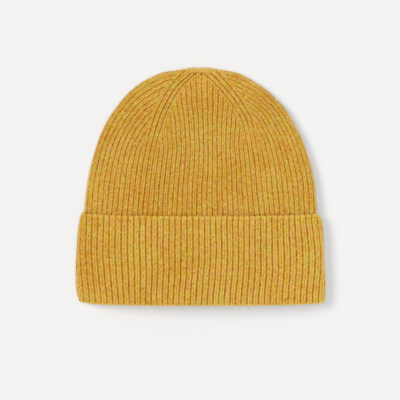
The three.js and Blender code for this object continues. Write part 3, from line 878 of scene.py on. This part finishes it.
def make_cuff_half(name, first_groove):
    """Half of the cuff, from one side fold's groove to the other's. Its rows run from the fold's inner side
    up the hidden side of the cuff, over the lip, down the face and round the fold."""
    ribs = rib_places(first_groove, RIBS_AROUND // 2)
    no_edge = np.full_like(ribs, NO_EDGE)
    bare = np.zeros_like(ribs)
    between_ribs = 1 - np.cos(np.pi * (ribs - np.round(ribs))) ** 2
    points, hollows, stitches = [], [], []

    def add(point, hollow, stitch):
        points.append(point)
        hollows.append(hollow)
        stitches.append(stitch)

    point, normal = cuff_row(ribs, cuff_base_y)
    for degrees in FOLD_INNER_DEGREES:
        angle = np.radians(degrees)
        ring = point - normal * (FOLD_RADIUS - FOLD_INNER_RADIUS * np.cos(angle))
        ring[:, 1] -= FOLD_INNER_RADIUS * np.sin(angle)
        add(ring, bare, FOLD_INNER_STITCH)
    for share, stitch in zip(CUFF_INNER_HEIGHTS, CUFF_INNER_STITCHES):
        point, normal = cuff_row(ribs, at_height(share))
        add(point - normal * WALL, bare, stitch)
    half = LIP_WALL / 2
    for degrees, stitch in zip(LIP_DEGREES, LIP_STITCHES):
        angle = np.radians(degrees)
        over = (half + 0.2 - 0.5 * between_ribs) * np.sin(angle)
        point, normal = cuff_row(ribs, lambda x: cuff_top_y(x) - half + over)
        notch = LIP_NOTCH * between_ribs * max(0.0, np.cos(angle) + 0.4)
        sunk = half - half * np.cos(angle) + notch
        add(point - normal * sunk[:, None], LIP_HOLLOW_SHADE * between_ribs, stitch)

    count = CUFF_STITCHES * ROWS_PER_STITCH + 1
    gaps = stitch_gaps(count)[:, 0]
    for row in range(count):
        share = row / (count - 1)
        past = share * (CUFF_FACE + np.pi * FOLD_RADIUS)
        begin = smooth_step((past + 0.4) / 1.8)
        straight = 1 - smooth_step((past - CUFF_FACE + 1.2) / GROOVE_RUN_OUT)
        finish = 1 - smooth_step((past - CUFF_FACE - GROOVE_RUN_OUT) / STITCH_RUN_OUT)
        lean = leg_lean(ribs, no_edge) + LEG_UNEVEN * uneven(ribs + CUFF_LEAN_SHIFT, row)
        past = past + lean * STITCH_HEIGHT * begin * finish
        drift = wander(ribs + CUFF_WANDER_SHIFT, 30 + 80 * share) * begin
        own_depth = CUFF_GROOVE * (1 + CUFF_GROOVE_UNEVEN * soft_noise(np.floor(ribs) * 3.7, row / 19))
        groove_depth = own_depth * (0.22 + 0.78 * straight)
        gap = gaps[row] * finish
        depth, hollow = knit_relief(ribs, no_edge, gap, groove_depth, CUFF_GROOVE_WIDTH, CUFF_MIDDLE_LINE)
        hollow = hollow * (0.35 + 0.65 * straight)
        depth = depth - YARN_UNEVEN * uneven(ribs + CUFF_YARN_SHIFT, row) * (1 - hollow)
        depth = depth * begin + (LIP_NOTCH * between_ribs - 0.1) * (1 - begin)
        hollow = hollow * begin + LIP_HOLLOW_SHADE * between_ribs * (1 - begin)
        add(cuff_path(ribs + drift, past, depth), hollow, row / ROWS_PER_STITCH)
    add(points[0], hollows[0], stitches[-1] + 1)
    # The yarn's mottling takes other ribs than on the crown
    own_ribs = ribs + 2 * RIBS_AROUND
    return knitted_piece(name, swell(np.array(points)), np.array(hollows), own_ribs, np.array(stitches))


# Materials

def srgb(r, g, b):
    """Linear colour from 0 to 255 values."""
    def linear(value):
        value /= 255
        return value / 12.92 if value <= 0.04045 else ((value + 0.055) / 1.055) ** 2.4
    return (linear(r), linear(g), linear(b), 1.0)


STRAW_YARN = srgb(202, 182, 45)
APRICOT_YARN = srgb(215, 165, 54)
LIME_YARN = srgb(198, 187, 100)
DUSTY_YARN = srgb(212, 169, 105)
RUST_YARN = srgb(198, 104, 34)
# Deep orange: darker fibres of the mottle, and the painted shade of the hollows
DEEP_YARN_AND_SHADE = srgb(192, 128, 2)
# Painted shade: dark spots, only in the hollows
HOLLOW_DARK_SHADE = srgb(150, 78, 4)
# Painted sheen: the pale colour where the cloth turns away
PAINTED_SHEEN_YARN = srgb(228, 208, 136)
YARN_SHEEN = srgb(255, 240, 190)
FLOOR_TONES = (srgb(227, 221, 214), srgb(228, 222, 215))
FLOOR_GLOW = (0.65, 1.0, 1.4, 1)
FLOOR_GLOW_STRENGTH = 0.16

# Scale of each of the yarn's noises, on places in metres
MOTTLE = 720.0
GROOVE_MOTTLE = 620.0
PATCHES = 75.0
BROAD_PATCHES = 26.0
HUE_SPOTS = 500.0
HUE_PATCHES = 95.0
DUST_SPOTS = 880.0
DUST_PATCHES = 120.0
RUST_FLECKS = 380.0
DARK_SHADE_SPOTS = 680.0
FIBRE_BUMPS = 1100.0
FIBRE_BUMP_HEIGHT = 0.0003


def add_node(tree, kind, **settings):
    """A new node with its settings."""
    node = tree.nodes.new(kind)
    for key, value in settings.items():
        setattr(node, key, value)
    return node


def set_inputs(node, values):
    """Plain values for a node's inputs."""
    for key, value in values.items():
        node.inputs[key].default_value = value


def maths(tree, operation, a, b=None, c=None):
    """A maths node on links or numbers; gives its output."""
    node = add_node(tree, "ShaderNodeMath", operation=operation)
    for socket, value in zip(node.inputs, (a, b, c)):
        if isinstance(value, (int, float)):
            socket.default_value = value
        elif value is not None:
            tree.links.new(value, socket)
    return node.outputs[0]


def summed(tree, start, *terms):
    """A start value plus each socket times its weight."""
    total = start
    for socket, weight in terms:
        total = maths(tree, "MULTIPLY_ADD", socket, weight, total)
    return total


def balanced(tree, middle, *terms):
    """The middle value where every socket is a half, moved by each socket with its weight."""
    return summed(tree, middle - 0.5 * sum(weight for _, weight in terms), *terms)


def mixed(tree, factor, low, high):
    """A colour mix; gives its output."""
    node = add_node(tree, "ShaderNodeMix", data_type="RGBA", blend_type="MIX")
    for socket, value in ((node.inputs[0], factor), (node.inputs[6], low), (node.inputs[7], high)):
        if isinstance(value, (int, float, tuple)):
            socket.default_value = value
        else:
            tree.links.new(value, socket)
    return node.outputs[2]


def noise(tree, vector, scale, detail=2.0, roughness=0.5):
    """A noise from 0 to 1 on a vector; gives its output."""
    node = add_node(tree, "ShaderNodeTexNoise")
    set_inputs(node, {"Scale": scale, "Detail": detail, "Roughness": roughness})
    tree.links.new(vector, node.inputs["Vector"])
    return node.outputs["Fac"]


def ranged(tree, value, low, high, to_low=0.0, to_high=1.0):
    """A value mapped from one range to another and kept inside it; gives its output."""
    node = add_node(tree, "ShaderNodeMapRange")
    set_inputs(node, {1: low, 2: high, 3: to_low, 4: to_high})
    tree.links.new(value, node.inputs[0])
    return node.outputs[0]


# Size of a rib and of a stitch in the yarn's mottling, metres; it is drawn out along the knit
FIBRE_ACROSS = 0.0047
FIBRE_ALONG = 0.00175 * 0.6


def own_shades(tree, rib, row):
    """Three random values from 0 to 1 for each leg of each stitch."""
    second_leg = maths(tree, "GREATER_THAN", maths(tree, "PINGPONG", rib, 0.5), COLUMN_MIDDLE)
    cell = add_node(tree, "ShaderNodeCombineXYZ")
    tree.links.new(maths(tree, "FLOOR", maths(tree, "MULTIPLY", rib, 2.0)), cell.inputs[0])
    tree.links.new(maths(tree, "FLOOR", row), cell.inputs[1])
    tree.links.new(second_leg, cell.inputs[2])
    stitch = add_node(tree, "ShaderNodeTexWhiteNoise", noise_dimensions="3D")
    tree.links.new(cell.outputs[0], stitch.inputs["Vector"])
    parts = add_node(tree, "ShaderNodeSeparateColor")
    tree.links.new(stitch.outputs["Color"], parts.inputs[0])
    return parts.outputs[0], parts.outputs[1], parts.outputs[2]


def melange_material():
    """Yarn of many hues, pale on the crests, with painted shade of deep orange in the hollows."""
    material = bpy.data.materials.new("melange_knit")
    material.use_nodes = True
    tree = material.node_tree
    link = tree.links.new
    shader = tree.nodes["Principled BSDF"]
    place = add_node(tree, "ShaderNodeTexCoord").outputs["Object"]
    knit = add_node(tree, "ShaderNodeUVMap", uv_map="knit").outputs[0]
    hollow = add_node(tree, "ShaderNodeAttribute", attribute_name="hollow").outputs["Fac"]
    painted_sheen = add_node(tree, "ShaderNodeAttribute", attribute_name="painted_sheen").outputs["Fac"]

    # Each leg of each stitch takes its own shade of the yarn
    parts = add_node(tree, "ShaderNodeSeparateXYZ")
    link(knit, parts.inputs[0])
    rib, row = parts.outputs[0], parts.outputs[1]
    own_shade, own_light, own_fleck = own_shades(tree, rib, row)
    fibres = add_node(tree, "ShaderNodeCombineXYZ")
    link(maths(tree, "MULTIPLY", rib, FIBRE_ACROSS), fibres.inputs[0])
    link(maths(tree, "MULTIPLY", row, FIBRE_ALONG), fibres.inputs[1])
    fibres = fibres.outputs[0]

    # Pale on the crests, with painted shade of deep orange in the hollows, mottled by the fibres
    mottle = noise(tree, fibres, MOTTLE, 1.0)
    patch = noise(tree, place, PATCHES, 2.0, 0.6)
    broad = noise(tree, place, BROAD_PATCHES, 1.0)
    groove_mottle = noise(tree, place, GROOVE_MOTTLE, 1.0)
    pale = balanced(tree, 0.93, (mottle, 2.5), (own_light, 0.25), (patch, 0.7), (broad, 0.6))
    # Painted shade: the deeper in a hollow, the more deep orange
    sunk = maths(tree, "MULTIPLY", hollow, summed(tree, -0.45, (groove_mottle, 2.3)))
    pale = maths(tree, "SUBTRACT", pale, sunk)

    # Fibres of other hues: straw yellow to apricot, clear to dusty
    hue_spot = noise(tree, place, HUE_SPOTS, 1.0)
    hue_patch = noise(tree, place, HUE_PATCHES, 2.0, 0.6)
    hue = balanced(tree, 0.55, (hue_spot, 2.9), (own_shade, 0.5), (hue_patch, 2.2))
    dust_spot = noise(tree, fibres, DUST_SPOTS, 1.0)
    dust_patch = noise(tree, place, DUST_PATCHES, 2.0, 0.6)
    dust = balanced(tree, 0.5, (dust_spot, 2.3), (own_fleck, 0.4), (dust_patch, 1.1))
    clear = mixed(tree, hue, STRAW_YARN, APRICOT_YARN)
    dusty = mixed(tree, hue, LIME_YARN, DUSTY_YARN)
    yarn = mixed(tree, pale, DEEP_YARN_AND_SHADE, mixed(tree, dust, clear, dusty))

    # Rust-coloured flecks, spots of painted shade in the hollows, and painted sheen that makes the yarn paler
    # where the cloth turns away
    fleck_noise = noise(tree, fibres, RUST_FLECKS, 2.0, 0.7)
    fleck = summed(tree, 0.0, (fleck_noise, 1.0), (hollow, 0.08), (own_fleck, 0.06))
    yarn = mixed(tree, ranged(tree, fleck, 0.66, 0.76, 0.0, 0.85), yarn, RUST_YARN)
    # Painted shade: dark spots that mottle the hollows
    dark_shade_spot = ranged(tree, noise(tree, place, DARK_SHADE_SPOTS, 1.0), 0.48, 0.7, 0.0, 0.9)
    yarn = mixed(tree, maths(tree, "MULTIPLY", hollow, dark_shade_spot), yarn, HOLLOW_DARK_SHADE)
    yarn = mixed(tree, maths(tree, "MULTIPLY", painted_sheen, 0.75), yarn, PAINTED_SHEEN_YARN)
    link(yarn, shader.inputs["Base Color"])

    # Surface of the fibres
    height = noise(tree, place, FIBRE_BUMPS, 3.0, 0.7)
    bump = add_node(tree, "ShaderNodeBump")
    set_inputs(bump, {"Strength": 0.8, "Distance": FIBRE_BUMP_HEIGHT})
    link(height, bump.inputs["Height"])
    link(bump.outputs[0], shader.inputs["Normal"])
    link(ranged(tree, height, 0.3, 0.7, 0.82, 0.98), shader.inputs["Roughness"])
    set_inputs(shader, {"Sheen Weight": 1.0, "Sheen Roughness": 0.3, "Sheen Tint": YARN_SHEEN,
                        "Specular IOR Level": 0.15})
    return material


def floor_material():
    """Pale floor whose own bluish light keeps the ground beside the yellow knit neutral."""
    material = bpy.data.materials.new("pale_floor")
    material.use_nodes = True
    tree = material.node_tree
    shader = tree.nodes["Principled BSDF"]
    place = add_node(tree, "ShaderNodeTexCoord").outputs["Object"]
    tone = ranged(tree, noise(tree, place, 3.0), 0.3, 0.7)
    tree.links.new(mixed(tree, tone, *FLOOR_TONES), shader.inputs["Base Color"])
    set_inputs(shader, {"Emission Color": FLOOR_GLOW, "Emission Strength": FLOOR_GLOW_STRENGTH,
                        "Roughness": 0.9, "Specular IOR Level": 0.1})
    return material


# Scene

FIRST_BAND = -(WEDGE_HALF_RIBS + BAND_RIBS / 2)
CROWN_PANELS = ("crown_front", "crown_right", "crown_back", "crown_left")
CUFF_HALVES = ("cuff_front", "cuff_back")

knit_material = melange_material()
pieces = []
for k, name in enumerate(CROWN_PANELS):
    pieces.append((make_crown_panel(name, FIRST_BAND + RIBS_PER_QUARTER * k), "crown"))
for k, name in enumerate(CUFF_HALVES):
    pieces.append((make_cuff_half(name, CUFF_SIDE_GROOVE + RIBS_AROUND // 2 * k), "cuff"))
pieces.append((make_fuzz("crown_fuzz", CROWN_PANELS, CROWN_FIBRES), "crown"))
pieces.append((make_fuzz("cuff_fuzz", CUFF_HALVES, CUFF_FIBRES), "cuff"))
knit_group = bpy.data.collections.new("knit")
for piece, node in pieces:
    knit_group.objects.link(piece)
    piece.data.materials.append(knit_material)
    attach(piece, "root")
    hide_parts(node)

floor = new_piece("floor", bpy.ops.mesh.primitive_plane_add, size=8, location=(0, 0, 0))
floor.data.materials.append(floor_material())

# Lights: name, direction it comes from, how widely it spreads, strength, whether it falls on the knit alone
LIGHTS = (
    ("window", (-0.9, 0.34, 1.0), 24, 1.55, False),
    ("ceiling", (0.0, 0.0, 1.0), 30, 0.93, False),
    ("right_fill", (1.0, -0.1, 0.08), 60, 2.5, True),
    ("near_fill", (0.1, -1.0, 0.1), 60, 1.6, True),
    ("far_fill", (0.0, 1.0, 0.2), 60, 0.4, True),
)
ROOM_STRENGTH = 0.36

# Camera straight above, its frame 368.7 mm wide at the height of the side folds
CAMERA_PLACE = (-0.0004, -0.0125, 1.7)
SENSOR_WIDTH = 36.0
CAMERA_LENS = 165.3
camera_data = bpy.data.cameras.new("camera")
camera = bpy.data.objects.new("camera", camera_data)
bpy.context.collection.objects.link(camera)
camera.location = CAMERA_PLACE
camera_data.sensor_width = SENSOR_WIDTH
camera_data.lens = CAMERA_LENS
bpy.context.scene.camera = camera

for name, come_from, spread, strength, knit_alone in LIGHTS:
    lamp = bpy.data.lights.new(name, "SUN")
    lamp.energy = strength
    lamp.angle = np.radians(spread)
    light = bpy.data.objects.new(name, lamp)
    light.rotation_euler = Vector(come_from).to_track_quat("Z", "Y").to_euler()
    bpy.context.collection.objects.link(light)
    if knit_alone:
        light.light_linking.receiver_collection = knit_group

world = bpy.data.worlds.new("studio")
bpy.context.scene.world = world
world.use_nodes = True
set_inputs(world.node_tree.nodes["Background"], {"Color": (1, 1, 1, 1), "Strength": ROOM_STRENGTH})
bpy.context.scene.view_settings.view_transform = "Standard"
